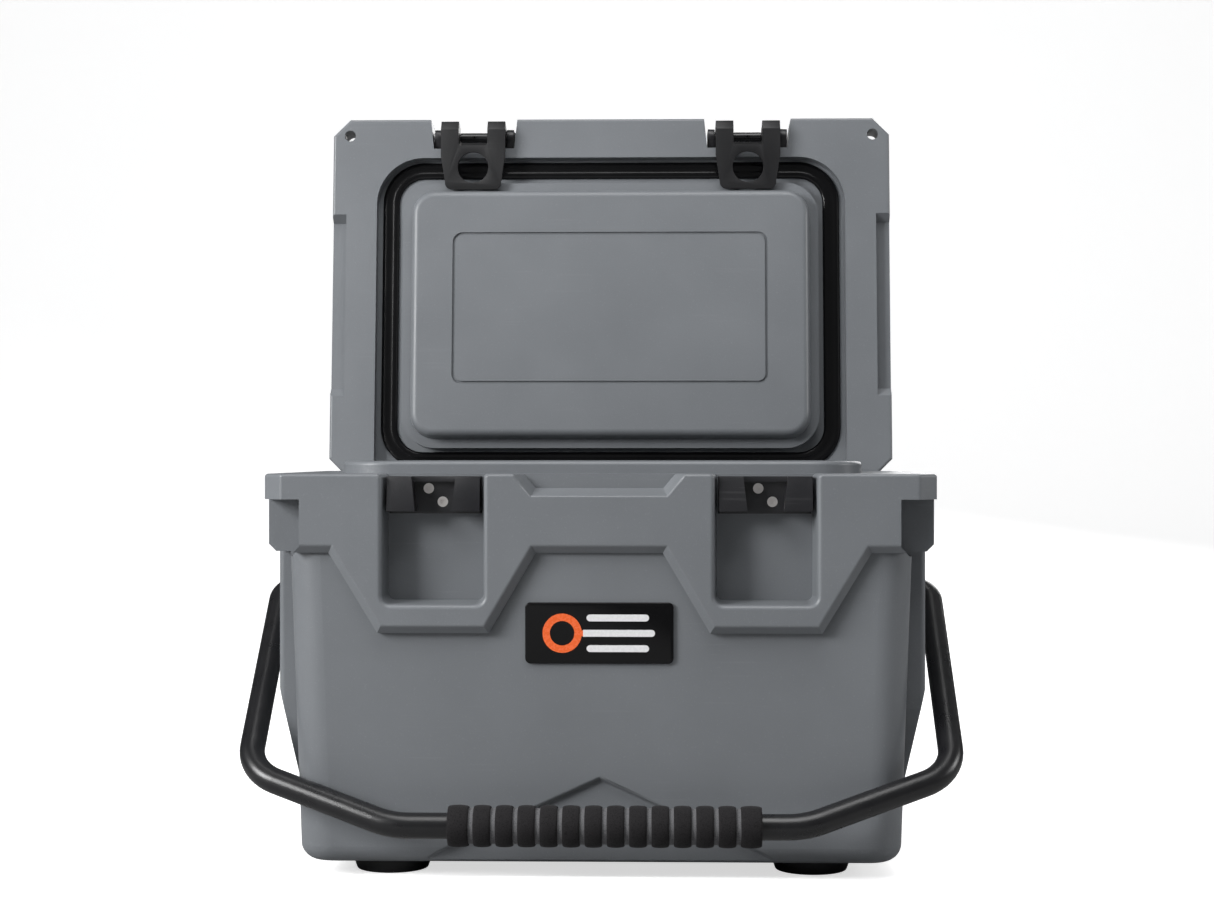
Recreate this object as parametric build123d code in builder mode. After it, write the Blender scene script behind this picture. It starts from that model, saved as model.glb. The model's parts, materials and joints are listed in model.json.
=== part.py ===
from build123d import *
import math
import os

# Hard cooler with a bail handle. Millimetres, +X to the right, front towards -Y, +Z up.
# The origin is on the floor under the middle of the body. The lid stands open and the handle rests in front.

# Body
width = 500.0
front_y = -162.5
back_y = 154.0
rim_z = 302.0
body_bottom_z = 11.0
wall = 4.0
lower_half_width_top = 235.5
lower_half_width_bottom = 226.0
lower_front_top = -155.5
lower_front_bottom = -146.5
lower_back_top = 147.0
lower_back_bottom = 138.0
lower_corner_r = 26.0
bottom_edge_r = 13.0
band_z = 243.5
band_bevel = 6.0
corner_chamfer = 14.0
rim_edge_r = 2.5
corner_edge_r = 4.0
panel_edge_r = 4.0
bevel_edge_r = 3.0
collar_edge_r = 3.0
cavity_floor_r = 12.0
recess_edge_r = 3.5
tab_height = 19.0
pocket_inner_x = 222.0
pocket_depth = 32.0
pocket_bottom_z = 240.0
pocket_floor_rise = 3.0
padlock_inset = 15.0
padlock_r = 5.0
padlock_pocket_r = 9.0
padlock_tab = 14.0

# Tongues of the band round the latches, as half-outlines on the front
tongue_outer_top_x = 201.1
tongue_outer_x = 164.7
tongue_inner_x = 82.0
tongue_inner_top_x = 47.3
tongue_z = 184.0
tongue_rise = 22.0
tongue_lean = 0.6

# Latches
latch_x = 123.0
recess_width = 76.0
recess_bottom_z = 205.0
recess_depth = 27.0
recess_draft = 5.0

# Rim collar, cavity and lid seal
collar_half_x = 200.0
collar_front_y = -122.5
collar_back_y = 150.0
collar_width = 11.5
collar_height = 9.2
collar_corner_r = 40.0
cavity_floor_z = 46.0
cavity_draft = 2.2
seal_gap = 0.3

# Toe recess under the front, finger recess in the rim
toe_apex_z = 77.0
toe_slope = 24.7
toe_depth = 4.5
finger_top_half = 63.0
finger_bottom_half = 50.0
finger_height = 16.5
finger_depth = 13.0

# Side panels that carry the handle
panel_half_x = 247.0
panel_front_y = -104.0
panel_back_y = 104.0
panel_bottom_half_x = 231.0
panel_bottom_z = 70.0

# Handle
pivot_z = 208.0
pivot_y = 0.0
arm_x = 262.0
tube_r = 9.5
tube_wall = 1.5
elbow_r = 14.5
arm_straight = 197.0
grip_half_span = 150.0
grip_reach = 249.0
outer_bend_r = 38.0
inner_bend_r = 60.0
handle_rest_angle = 40.3
hub_inner_x = 226.0
hub_r = 16.0
hub_flange_r = 21.0
hub_flange = 3.0
bush_fit = 0.05
core_r = 13.0
grip_centre_x = 5.0
ring_r = 15.25
ring_gap = 3.4
ring_width = 12.7
end_ring_width = 15.2
ring_count = 14

# Lid
lid_gap = 0.4
lid_height = 46.0
lid_back_y = 160.0
lid_chamfer = 15.0
lid_top_r = 9.0
lid_open_angle = 95.5
hinge_y = 158.0
hinge_z = 300.0
knuckle_r = 9.0
knuckle_pitch = 80.0
knuckle_gap = 0.8
knuckle_relief = 0.8
rod_r = 4.0
rod_fit = 0.05
rod_overhang = 5.0
cap_r = 6.5
cap_width = 3.0
cap_gap = 0.8
channel_half_x = 210.0
channel_front_y = -127.0
channel_corner_r = 42.0
gasket_height = 3.0
gasket_margin = 4.5
plug_half_x = 186.0
plug_front_y = -103.5
plug_back_y = 135.5
plug_corner_r = 30.0
plug_ledge = 8.0
plug_depth = 15.0
plug_line_half_x = 140.0
plug_line_front_y = -56.0
plug_line_back_y = 80.0
plug_line_r = 9.0
plug_line_width = 2.6
plug_line_depth = 1.6
notch_half_front = 39.0
notch_half_back = 36.2
notch_depth = 27.0
scoop_front_y = -76.5
scoop_back_y = 89.5
scoop_width = 12.6
scoop_height = 8.0

# Latch hardware
pin_y = -147.0
pin_z = 310.0
pin_r = 3.0
pin_fit = 0.08
barrel_r = 4.3
paddle_outer = 20.0
paddle_inner = 13.6
paddle_top = 12.9
paddle_bottom = 48.9
paddle_relief = 16.5
paddle_lip_top = 35.6
paddle_lip_bottom = 40.0
paddle_half = 28.75
paddle_gap_half = 12.85
paddle_tip_half = 25.1
hole_drop = 29.2
hole_r = 13.75
boss_r = 8.6
lug_thickness = 6.2
bracket_half = 35.5
bracket_bar_depth = 13.5
bracket_block = 18.6
bracket_z = 331.6
bracket_top_z = 345.0
bracket_screw_x = 14.0
bracket_screw_z = 338.3
keeper_plate = 6.0
keeper_top_z = 300.0
keeper_bottom_z = 274.2
keeper_front_bottom = -159.2
keeper_front_top = -156.0
keeper_block_inner = 13.5
keeper_half = 35.0
screw_head_r = 3.9
screw_shank_r = 1.6
screw_head_depth = (screw_head_r - screw_shank_r) / math.tan(math.radians(41))
screw_socket_r = 1.8

# Feet and badge
foot_x = 160.0
foot_front_y = -99.0
foot_back_y = 92.0
foot_top_r = 31.0
foot_bottom_r = 27.0
badge_width = 110.0
badge_height = 45.5
badge_z = 184.0
badge_thickness = 2.5
foot_screw_r = 2.5
foot_screw_head_r = 5.0
port_r = 12.0
port_x = 120.0
lid_port_r = 8.0

body_mid_y = (front_y + back_y) / 2
rim_depth = back_y - front_y
collar_top_z = rim_z + collar_height
lid_bottom_z = rim_z + lid_gap
lid_top_z = lid_bottom_z + lid_height
channel_z = collar_top_z + seal_gap + gasket_height
lid_mid_y = (front_y + lid_back_y) / 2
lid_depth = lid_back_y - front_y
front_slope = math.degrees(math.atan2(lower_front_bottom - lower_front_top, rim_z - body_bottom_z))
hinge_axis = Axis((0, hinge_y, hinge_z), (1, 0, 0))
front_plane = Plane(origin=(0, front_y, 0), x_dir=(1, 0, 0), z_dir=(0, -1, 0))


def lower_front_at(z):
    """Front of the drafted lower body at a height."""
    share = (z - body_bottom_z) / (rim_z - body_bottom_z)
    return lower_front_bottom + share * (lower_front_top - lower_front_bottom)


def plane_on_front(z, out=0.0):
    """Plane on the drafted front face, looking out of it."""
    lean = math.radians(front_slope)
    normal = (0, -math.cos(lean), -math.sin(lean))
    origin = (0, lower_front_at(z) + out * normal[1], z + out * normal[2])
    return Plane(origin=origin, x_dir=(1, 0, 0), z_dir=normal)


def side_plane(x):
    """Plane facing +X, with Y to the right and Z up."""
    return Plane(origin=(x, 0, 0), x_dir=(0, 1, 0), z_dir=(1, 0, 0))


def ring_outline(half_x, low_y, high_y, corner_r):
    """Rounded rectangle between two Y values, centred on X."""
    with Locations((0, (low_y + high_y) / 2)):
        RectangleRounded(2 * half_x, high_y - low_y, corner_r)


# Knuckles of the full-width hinge: the body holds the outer and middle ones, the lid the two between
body_knuckles = [-2 * knuckle_pitch, 0.0, 2 * knuckle_pitch]
lid_knuckles = [-knuckle_pitch, knuckle_pitch]
knuckle_length = knuckle_pitch - knuckle_gap
rod_half = 2.5 * knuckle_pitch + rod_overhang
foot_places = [(-foot_x, foot_front_y), (foot_x, foot_front_y), (-foot_x, foot_back_y), (foot_x, foot_back_y)]
lid_port_plane = Plane(
    origin=(0, lid_back_y, (channel_z + lid_top_z) / 2),
    x_dir=(1, 0, 0),
    z_dir=(0, 1, 0),
)
gasket_back_y = hinge_y - 5
open_turn = math.radians(lid_open_angle)
pin_dy = pin_y - hinge_y
pin_dz = pin_z - hinge_z
open_pin = (
    hinge_y + pin_dy * math.cos(open_turn) + pin_dz * math.sin(open_turn),
    hinge_z - pin_dy * math.sin(open_turn) + pin_dz * math.cos(open_turn),
)

def lower_block(inset, low_z, high_z):
    """Drafted lower body between two heights, drawn in by an inset."""
    sections = []
    for z in (low_z, high_z):
        share = (z - body_bottom_z) / (rim_z - body_bottom_z)
        half_x = lower_half_width_bottom + share * (lower_half_width_top - lower_half_width_bottom) - inset
        low_y = lower_front_at(z) + inset
        high_y = lower_back_bottom + share * (lower_back_top - lower_back_bottom) - inset
        with BuildSketch(Plane.XY.offset(z)) as outline:
            ring_outline(half_x, low_y, high_y, lower_corner_r - inset)
        sections.append(outline.sketch)
    loft(sections)


def cavity(grow, mode):
    """Tapered inside of the body, grown by a wall on its sides and floor."""
    with BuildSketch(Plane.XY.offset(collar_top_z)) as outline:
        ring_outline(
            collar_half_x - collar_width + grow,
            collar_front_y + collar_width - grow,
            collar_back_y - collar_width + grow,
            collar_corner_r - collar_width + grow,
        )
    extrude(outline.sketch, amount=-(collar_top_z - cavity_floor_z + grow), taper=cavity_draft, mode=mode)


def latch_recesses(grow):
    """Recess in the band behind each latch, open at the rim."""
    for side in (-1, 1):
        with BuildSketch(front_plane) as outline:
            with Locations((side * latch_x, (recess_bottom_z - grow + rim_z + 20) / 2)):
                RectangleRounded(recess_width + 2 * grow, rim_z + 20 - recess_bottom_z + grow, 7)
        extrude(outline.sketch, amount=-(recess_depth + grow), taper=recess_draft, mode=Mode.SUBTRACT)


def finger_recess(grow):
    """Recess in the rim's front, with sloping sides and floor."""
    with BuildSketch(front_plane) as outline:
        with BuildLine():
            Polyline(
                (-finger_top_half - 6 - grow, rim_z + 6),
                (-finger_bottom_half - grow, rim_z - finger_height - grow),
                (finger_bottom_half + grow, rim_z - finger_height - grow),
                (finger_top_half + 6 + grow, rim_z + 6),
                close=True,
            )
        make_face()
    extrude(outline.sketch, amount=-(finger_depth + grow), taper=24, mode=Mode.SUBTRACT)


def corner_pockets(grow):
    """Tie-down pocket under each corner tab, open to the front or back and to the side."""
    inner_x = pocket_inner_x - grow
    low_z = pocket_bottom_z - grow
    high_z = rim_z - tab_height + (rim_z if grow else 0)
    for side in (-1, 1):
        for low_y, high_y in (
            (front_y - 1, front_y + pocket_depth + grow),
            (back_y - pocket_depth - grow, back_y + 1),
        ):
            with BuildSketch(Plane(origin=(0, low_y, 0), x_dir=(1, 0, 0), z_dir=(0, -1, 0))) as outline:
                with BuildLine():
                    Polyline(
                        (side * inner_x, high_z),
                        (side * inner_x, low_z + 8),
                        (side * (inner_x + 9), low_z),
                        (side * (width / 2 + 1), low_z + pocket_floor_rise),
                        (side * (width / 2 + 1), high_z),
                        close=True,
                    )
                make_face()
            extrude(outline.sketch, amount=-(high_y - low_y), mode=Mode.SUBTRACT)


def toe_recess(grow):
    """Set-back lower front, below two slopes that meet in the middle."""
    apex_z = toe_apex_z + grow
    toe_half = (apex_z + 20) / math.tan(math.radians(toe_slope))
    with BuildSketch(plane_on_front(0, 1)) as outline:
        with BuildLine():
            Polyline((0, apex_z), (toe_half, -20), (-toe_half, -20), close=True)
        make_face()
    extrude(outline.sketch, amount=-(toe_depth + 1 + grow), taper=30, mode=Mode.SUBTRACT)


def hub_sockets(grow):
    """Blind round socket in each side for a handle bushing."""
    for side in (-1, 1):
        with BuildSketch(side_plane(side * (hub_inner_x - grow))) as outline:
            with Locations((pivot_y, pivot_z)):
                Circle(hub_r + grow)
        extrude(outline.sketch, amount=side * 40, mode=Mode.SUBTRACT)
        with BuildSketch(side_plane(side * (panel_half_x - hub_flange - grow))) as outline:
            with Locations((pivot_y, pivot_z)):
                Circle(hub_flange_r + grow)
        extrude(outline.sketch, amount=side * 20, mode=Mode.SUBTRACT)


def cap_reliefs(grow):
    """Room for the hinge rod's caps beyond the outer knuckles."""
    knuckle_end = 2 * knuckle_pitch + knuckle_length / 2
    for side in (-1, 1):
        with BuildSketch(side_plane(side * (knuckle_end - grow))) as outline:
            with Locations((hinge_y, hinge_z)):
                Circle(cap_r + cap_gap + grow)
        extrude(
            outline.sketch,
            amount=side * (rod_half + cap_width + cap_gap + 2 * grow - knuckle_end),
            mode=Mode.SUBTRACT,
        )


# Keeper screws sit on a slant, one above the other
screw_spots = [(-4.9, 291.0), (5.6, 281.0)]


def keeper_face(side, dx, z):
    """Front of a keeper's plate at a screw."""
    return Plane(
        origin=(side * latch_x + dx, front_y + recess_depth - keeper_plate, z),
        x_dir=(1, 0, 0),
        z_dir=(0, -1, 0),
    )


# Foam in the body's double wall
with BuildPart() as body_foam:
    lower_block(wall, body_bottom_z + wall, rim_z - wall)
    with BuildSketch(Plane.XY.offset(band_z + band_bevel)):
        with Locations((0, body_mid_y)):
            Rectangle(width - 2 * wall, rim_depth - 2 * wall)
        chamfer(vertices(), length=corner_chamfer)
    extrude(amount=rim_z - wall - band_z - band_bevel)
    cavity(wall, Mode.SUBTRACT)
    latch_recesses(wall)
    finger_recess(wall)
    corner_pockets(wall)
    toe_recess(wall)
    hub_sockets(wall)
    for x in lid_knuckles:
        with BuildSketch(side_plane(x)):
            with Locations((hinge_y, hinge_z)):
                Circle(knuckle_r + knuckle_relief + wall)
        extrude(amount=knuckle_pitch / 2 + wall, both=True, mode=Mode.SUBTRACT)
    with BuildSketch(side_plane(0)):
        with Locations((hinge_y, hinge_z)):
            Circle(rod_r + wall)
    extrude(amount=rod_half, both=True, mode=Mode.SUBTRACT)
    cap_reliefs(wall)
body_foam.part.label = "body_foam"

def near(value, target):
    """True where two lengths agree to within a fifth of a millimetre."""
    return abs(value - target) < 0.2


# Band round the rim, with chamfered corners and a bevelled lower edge
with BuildPart() as band:
    with BuildSketch(Plane.XY.offset(band_z)):
        with Locations((0, body_mid_y)):
            Rectangle(width, rim_depth)
        chamfer(vertices(), length=corner_chamfer)
    extrude(amount=rim_z - band_z)
    chamfer(band.edges().group_by(Axis.Z)[0], length=band_bevel - 0.5)
    corners = band.edges().filter_by(Axis.Z)
    fillet(corners, radius=corner_edge_r)
    fillet(band.edges().group_by(Axis.Z)[-1], radius=rim_edge_r)

# Body shell: drafted double wall under a raised band, with a collar round the mouth
with BuildPart() as body_shell:
    lower_block(0, body_bottom_z, rim_z)
    fillet(body_shell.edges().group_by(Axis.Z)[0], radius=bottom_edge_r)
    # Side panels taper in towards the bottom
    for side in (-1, 1):
        with BuildSketch(Plane(origin=(0, panel_front_y, 0), x_dir=(1, 0, 0), z_dir=(0, -1, 0))):
            with BuildLine():
                Polyline(
                    (side * 200, band_z + 10),
                    (side * panel_half_x, band_z + 10),
                    (side * panel_half_x, pivot_z - 70),
                    (side * panel_bottom_half_x, panel_bottom_z),
                    (side * 200, panel_bottom_z - 14),
                    close=True,
                )
            make_face()
        extrude(amount=-(panel_back_y - panel_front_y))
    fillet(
        body_shell.edges().filter_by(Axis.Z).filter_by(lambda e: abs(e.center().X) > panel_half_x - 1),
        radius=panel_edge_r,
    )
    add(band.part)
    # Tongues of the band round the latches, with the same bevel
    for side in (-1, 1):
        with BuildSketch(front_plane):
            with BuildLine():
                Polyline(
                    (side * (tongue_outer_top_x + tongue_rise * tongue_lean), band_z + tongue_rise),
                    (side * tongue_outer_x, tongue_z),
                    (side * tongue_inner_x, tongue_z),
                    (side * (tongue_inner_top_x - tongue_rise * tongue_lean), band_z + tongue_rise),
                    close=True,
                )
            make_face()
        extrude(amount=-(recess_depth - wall))
    tongue_edges = body_shell.edges().filter_by(
        lambda e: near(e.center().Y, front_y) and e.center().Z < band_z + band_bevel - 0.6 and e.length > 30
    )
    chamfer(tongue_edges, length=band_bevel - 0.5)
    bevel_upper = body_shell.edges().filter_by(
        lambda e: near(e.center().Y, front_y) and e.center().Z < band_z + 8 and e.length > 5
    )
    fillet(bevel_upper, radius=bevel_edge_r)
    # Collar
    with BuildSketch(Plane.XY.offset(rim_z)):
        ring_outline(collar_half_x, collar_front_y, collar_back_y, collar_corner_r)
    extrude(amount=collar_height)
    fillet(body_shell.faces().sort_by(Axis.Z)[-1].edges(), radius=collar_edge_r)
    cavity(0, Mode.SUBTRACT)
    fillet(
        body_shell.edges().filter_by(lambda e: near(e.center().Z, collar_top_z)),
        radius=collar_edge_r,
    )
    fillet(
        body_shell.edges().filter_by(lambda e: near(e.center().Z, cavity_floor_z)),
        radius=cavity_floor_r,
    )
    latch_recesses(0)
    recess_edges = body_shell.edges().filter_by(
        lambda e: abs(abs(e.center().X) - latch_x) < recess_width / 2 + 2
        and recess_bottom_z - 3 < e.center().Z < rim_z - 5
    )
    fillet(recess_edges.filter_by(lambda e: near(e.center().Y, front_y)), radius=recess_edge_r)
    finger_recess(0)
    finger_edges = body_shell.edges().filter_by(
        lambda e: abs(e.center().X) < finger_top_half + 6
        and rim_z - finger_height - 2 < e.center().Z < rim_z - 3
    )
    fillet(finger_edges.filter_by(lambda e: near(e.center().Y, front_y)), radius=2)
    corner_pockets(0)
    pocket_corners = body_shell.edges().filter_by(
        lambda e: near(abs(e.center().X), pocket_inner_x)
        and pocket_bottom_z < e.center().Z < rim_z - tab_height
        and (near(e.center().Y, front_y + pocket_depth) or near(e.center().Y, back_y - pocket_depth))
    )
    fillet(pocket_corners, radius=4)
    toe_recess(0)
    toe_edges = body_shell.edges().filter_by(
        lambda e: e.length > 60
        and e.center().Y < lower_front_bottom + 6
        and abs(e.center().Z - 50) < 30
        and 20 < abs(e.center().X) < 120
    )
    fillet(toe_edges, radius=2)
    hub_sockets(0)
    # Pilot holes for the keeper screws
    for side in (-1, 1):
        for dx, z in screw_spots:
            with BuildSketch(keeper_face(side, dx, z)):
                Circle(screw_shank_r)
            extrude(amount=-keeper_plate - wall + 0.5, mode=Mode.SUBTRACT)
    # Padlock holes through the front tabs
    for side in (-1, 1):
        with Locations((side * (width / 2 - padlock_inset), front_y + padlock_inset, rim_z)):
            Hole(radius=padlock_r, depth=tab_height + 5)
    # Hinge knuckles and the room for the lid's knuckles
    for x in lid_knuckles:
        with BuildSketch(side_plane(x)):
            with Locations((hinge_y, hinge_z)):
                Circle(knuckle_r + knuckle_relief)
        extrude(amount=knuckle_pitch / 2, both=True, mode=Mode.SUBTRACT)
    for x in body_knuckles:
        with BuildSketch(side_plane(x)):
            with Locations((hinge_y, hinge_z)):
                Circle(knuckle_r)
            with BuildLine():
                Polyline(
                    (back_y - 6, hinge_z),
                    (back_y - 6, hinge_z - 38),
                    (back_y, hinge_z - 38),
                    (hinge_y + knuckle_r, hinge_z),
                    close=True,
                )
            make_face()
        extrude(amount=knuckle_length / 2, both=True)
    with BuildSketch(side_plane(0)):
        with Locations((hinge_y, hinge_z)):
            Circle(rod_r + rod_fit)
    extrude(amount=rod_half, both=True, mode=Mode.SUBTRACT)
    cap_reliefs(0)
    # Foam, its filling ports and the foot screws' holes
    add(body_foam.part, mode=Mode.SUBTRACT)
    for side in (-1, 1):
        with Locations((side * port_x, 0, body_bottom_z + wall)):
            Hole(radius=port_r, depth=2 * wall)
    for x, y in foot_places:
        with Locations((x, y, body_bottom_z + wall - 0.5)):
            Hole(radius=foot_screw_r, depth=2 * wall)
body_shell.part.label = "body_shell"

# Plugs that close the foam ports
with BuildPart() as body_plugs:
    for side in (-1, 1):
        with BuildSketch(Plane.XY.offset(body_bottom_z)):
            with Locations((side * port_x, 0)):
                Circle(port_r)
        extrude(amount=wall)
        with BuildSketch(Plane.XY.offset(body_bottom_z)):
            with Locations((side * port_x, 0)):
                Circle(port_r + 3)
        extrude(amount=-1.5)
body_plugs.part.label = "body_plugs"

# Rubber feet, dished, with a screw up through each
feet = {}
for name, (x, y) in zip(("front_left", "front_right", "back_left", "back_right"), foot_places):
    with BuildPart() as foot:
        with BuildSketch(Plane.XY):
            with Locations((x, y)):
                Circle(foot_bottom_r)
        with BuildSketch(Plane.XY.offset(body_bottom_z)):
            with Locations((x, y)):
                Circle(foot_top_r)
        loft()
        fillet(foot.edges().group_by(Axis.Z)[0], radius=1.5)
        with BuildSketch(Plane.XY):
            with Locations((x, y)):
                Circle(foot_screw_head_r + 1)
        extrude(amount=5, mode=Mode.SUBTRACT)
        with Locations((x, y, body_bottom_z)):
            Hole(radius=foot_screw_r)
    foot.part.label = "foot_" + name
    feet[foot.part.label] = foot

with BuildPart() as foot_screws:
    for x, y in foot_places:
        with Locations((x, y, 5)):
            Cylinder(foot_screw_head_r, 3, align=(Align.CENTER, Align.CENTER, Align.MAX))
        with Locations((x, y, 5)):
            Cylinder(
                foot_screw_r,
                body_bottom_z + wall - 0.5 - 5,
                align=(Align.CENTER, Align.CENTER, Align.MIN),
            )
foot_screws.part.label = "foot_screws"


def keeper(side):
    """Moulded keeper in a latch recess: a plate with two blocks that the paddle hooks under."""
    middle = side * latch_x
    back = front_y + recess_depth
    for block in (-1, 1):
        with BuildSketch(Plane(origin=(middle, back, 0), x_dir=(1, 0, 0), z_dir=(0, -1, 0))) as outline:
            with BuildLine():
                Polyline(
                    (block * (keeper_half - 0.5), keeper_top_z),
                    (block * (keeper_half - 0.5), keeper_bottom_z),
                    (block * keeper_block_inner, keeper_bottom_z),
                    (block * (keeper_block_inner + 3), keeper_top_z),
                    close=True,
                )
            make_face()
        extrude(outline.sketch, amount=40)
    with BuildSketch(side_plane(middle)) as outline:
        with BuildLine():
            Polyline(
                (front_y - 40, keeper_bottom_z - 1),
                (keeper_front_bottom, keeper_bottom_z - 1),
                (keeper_front_bottom, keeper_bottom_z),
                (keeper_front_top, keeper_top_z),
                (keeper_front_top, keeper_top_z + 1),
                (front_y - 40, keeper_top_z + 1),
                close=True,
            )
        make_face()
    extrude(outline.sketch, amount=keeper_half + 1, both=True, mode=Mode.SUBTRACT)
    with Locations((middle, back, keeper_bottom_z - 2)):
        Box(
            2 * keeper_half - 1,
            keeper_plate,
            keeper_top_z - keeper_bottom_z + 2,
            align=(Align.CENTER, Align.MAX, Align.MIN),
        )
    with Locations((middle, back - keeper_plate, keeper_top_z)):
        Box(2 * keeper_block_inner + 8, 5, 4, align=(Align.CENTER, Align.MAX, Align.MAX))


keepers = {}
for name, side in (("left", -1), ("right", 1)):
    with BuildPart() as keeper_part:
        keeper(side)
        fillet(
            keeper_part.edges().filter_by(Axis.Z).group_by(Axis.Y)[0],
            radius=1.2,
        )
        for dx, z in screw_spots:
            face = keeper_face(side, dx, z)
            with Locations(face):
                CounterSinkHole(radius=screw_shank_r, counter_sink_radius=screw_head_r)
    keeper_part.part.label = "keeper_" + name
    keepers[keeper_part.part.label] = keeper_part

with BuildPart() as keeper_screws:
    for side in (-1, 1):
        for dx, z in screw_spots:
            face = keeper_face(side, dx, z)
            with BuildSketch(face):
                Circle(screw_shank_r)
            extrude(amount=-keeper_plate - wall + 0.5)
            with BuildSketch(face):
                Circle(screw_head_r)
            with BuildSketch(face.offset(-screw_head_depth)):
                Circle(screw_shank_r)
            loft()
            with BuildSketch(face):
                RegularPolygon(radius=screw_socket_r, side_count=6)
            extrude(amount=-screw_socket_r, mode=Mode.SUBTRACT)
keeper_screws.part.label = "keeper_screws"

# Badge on the front, with raised bars on it
with BuildPart() as badge_plate:
    with BuildSketch(plane_on_front(badge_z)):
        RectangleRounded(badge_width, badge_height, 4)
    extrude(amount=badge_thickness)
badge_plate.part.label = "badge_plate"
with BuildPart() as badge_emblem:
    with BuildSketch(plane_on_front(badge_z, badge_thickness)):
        with Locations((-badge_width / 4, 0)):
            Circle(badge_height * 0.32)
            Circle(badge_height * 0.2, mode=Mode.SUBTRACT)
        for row in (-1, 0, 1):
            with Locations((badge_width / 8, row * badge_height / 4)):
                SlotOverall(badge_width * (0.5 - 0.08 * abs(row)), badge_height / 9)
    extrude(amount=0.8)
badge_emblem.part.label = "badge_emblem"

# Bushings that the handle turns in, pressed in the side sockets
with BuildPart() as handle_bushings:
    for side in (-1, 1):
        with BuildSketch(side_plane(side * hub_inner_x)):
            with Locations((pivot_y, pivot_z)):
                Circle(hub_r)
        extrude(amount=side * (panel_half_x - hub_inner_x))
        with BuildSketch(side_plane(side * panel_half_x)):
            with Locations((pivot_y, pivot_z)):
                Circle(hub_flange_r)
        extrude(amount=-side * hub_flange)
        with BuildSketch(side_plane(side * (hub_inner_x + 3))):
            with Locations((pivot_y, pivot_z)):
                Circle(tube_r + bush_fit)
        extrude(amount=side * 40, mode=Mode.SUBTRACT)
handle_bushings.part.label = "handle_bushings"

# Bail handle: one bent tube whose ends turn inwards into the bushings
rest = math.radians(handle_rest_angle)
handle_plane = Plane(
    origin=(0, pivot_y, pivot_z),
    x_dir=(1, 0, 0),
    z_dir=(0, math.sin(rest), -math.cos(rest)),
)
tube_end_x = hub_inner_x + 4
with BuildPart() as handle_tube:
    with BuildLine(handle_plane) as tube_path:
        FilletPolyline(
            (-tube_end_x, 0),
            (-arm_x, 0),
            (-arm_x, arm_straight),
            (-grip_half_span, grip_reach),
            (grip_half_span, grip_reach),
            (arm_x, arm_straight),
            (arm_x, 0),
            (tube_end_x, 0),
            radius=[elbow_r, outer_bend_r, inner_bend_r, inner_bend_r, outer_bend_r, elbow_r],
        )
    with BuildSketch(Plane(origin=tube_path.line @ 0, z_dir=tube_path.line % 0)):
        Circle(tube_r)
        Circle(tube_r - tube_wall, mode=Mode.SUBTRACT)
    sweep()
handle_tube.part.label = "handle_tube"

grip_plane = handle_plane.shift_origin(handle_plane.from_local_coords((0, grip_reach, 0)))
grip_centre = grip_plane.origin
grip_length = 2 * end_ring_width + (ring_count - 2) * ring_width + (ring_count - 1) * ring_gap


def grip_section(x):
    """Plane across the grip at a place along it."""
    return Plane(origin=(x, grip_centre.Y, grip_centre.Z), x_dir=(0, 1, 0), z_dir=(1, 0, 0))


with BuildPart() as grip_core:
    with BuildSketch(grip_section(grip_centre_x - grip_length / 2)):
        Circle(core_r)
        Circle(tube_r, mode=Mode.SUBTRACT)
    extrude(amount=grip_length)
grip_core.part.label = "grip_core"

with BuildPart() as grip_rings:
    x = grip_centre_x - grip_length / 2
    for ring in range(ring_count):
        ring_w = end_ring_width if ring in (0, ring_count - 1) else ring_width
        with BuildSketch(grip_section(x)):
            Circle(ring_r)
            Circle(core_r, mode=Mode.SUBTRACT)
        extrude(amount=ring_w)
        x += ring_w + ring_gap
grip_rings.part.label = "grip_rings"

# Hinge rod through the body's and the lid's knuckles, with a cap on each end
with BuildPart() as hinge_rod:
    with BuildSketch(side_plane(-rod_half)):
        with Locations((hinge_y, hinge_z)):
            Circle(rod_r)
    extrude(amount=2 * rod_half)
hinge_rod.part.label = "hinge_rod"
with BuildPart() as hinge_caps:
    for side in (-1, 1):
        with BuildSketch(side_plane(side * rod_half)):
            with Locations((hinge_y, hinge_z)):
                Circle(cap_r)
        extrude(amount=side * 3)
hinge_caps.part.label = "hinge_caps"


def lid_notches(grow):
    """Notch right through the lid's front edge for each latch bracket."""
    for side in (-1, 1):
        with BuildSketch(Plane.XY.offset(lid_bottom_z - 5)) as outline:
            with BuildLine():
                Polyline(
                    (side * latch_x - notch_half_front - grow, front_y - 1),
                    (side * latch_x - notch_half_back - grow, front_y + notch_depth + grow),
                    (side * latch_x + notch_half_back + grow, front_y + notch_depth + grow),
                    (side * latch_x + notch_half_front + grow, front_y - 1),
                    close=True,
                )
            make_face()
        extrude(outline.sketch, amount=lid_height + 10, mode=Mode.SUBTRACT)


def side_scoops(grow):
    """Finger scoop under each side edge of the lid, with sloping ends."""
    for side in (-1, 1):
        with BuildSketch(side_plane(side * (width / 2 - scoop_width - grow))) as outline:
            with BuildLine():
                Polyline(
                    (scoop_front_y - grow, lid_bottom_z - 1),
                    (scoop_front_y + scoop_height - grow, lid_bottom_z + scoop_height + grow),
                    (scoop_back_y - scoop_height + grow, lid_bottom_z + scoop_height + grow),
                    (scoop_back_y + grow, lid_bottom_z - 1),
                    close=True,
                )
            make_face()
        extrude(outline.sketch, amount=side * 40, mode=Mode.SUBTRACT)


def bracket_face(x):
    """Plane on a latch bracket's front, at one of its screws."""
    return Plane(
        origin=(x, front_y + notch_depth - bracket_bar_depth, bracket_screw_z),
        x_dir=(1, 0, 0),
        z_dir=(0, -1, 0),
    )


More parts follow.
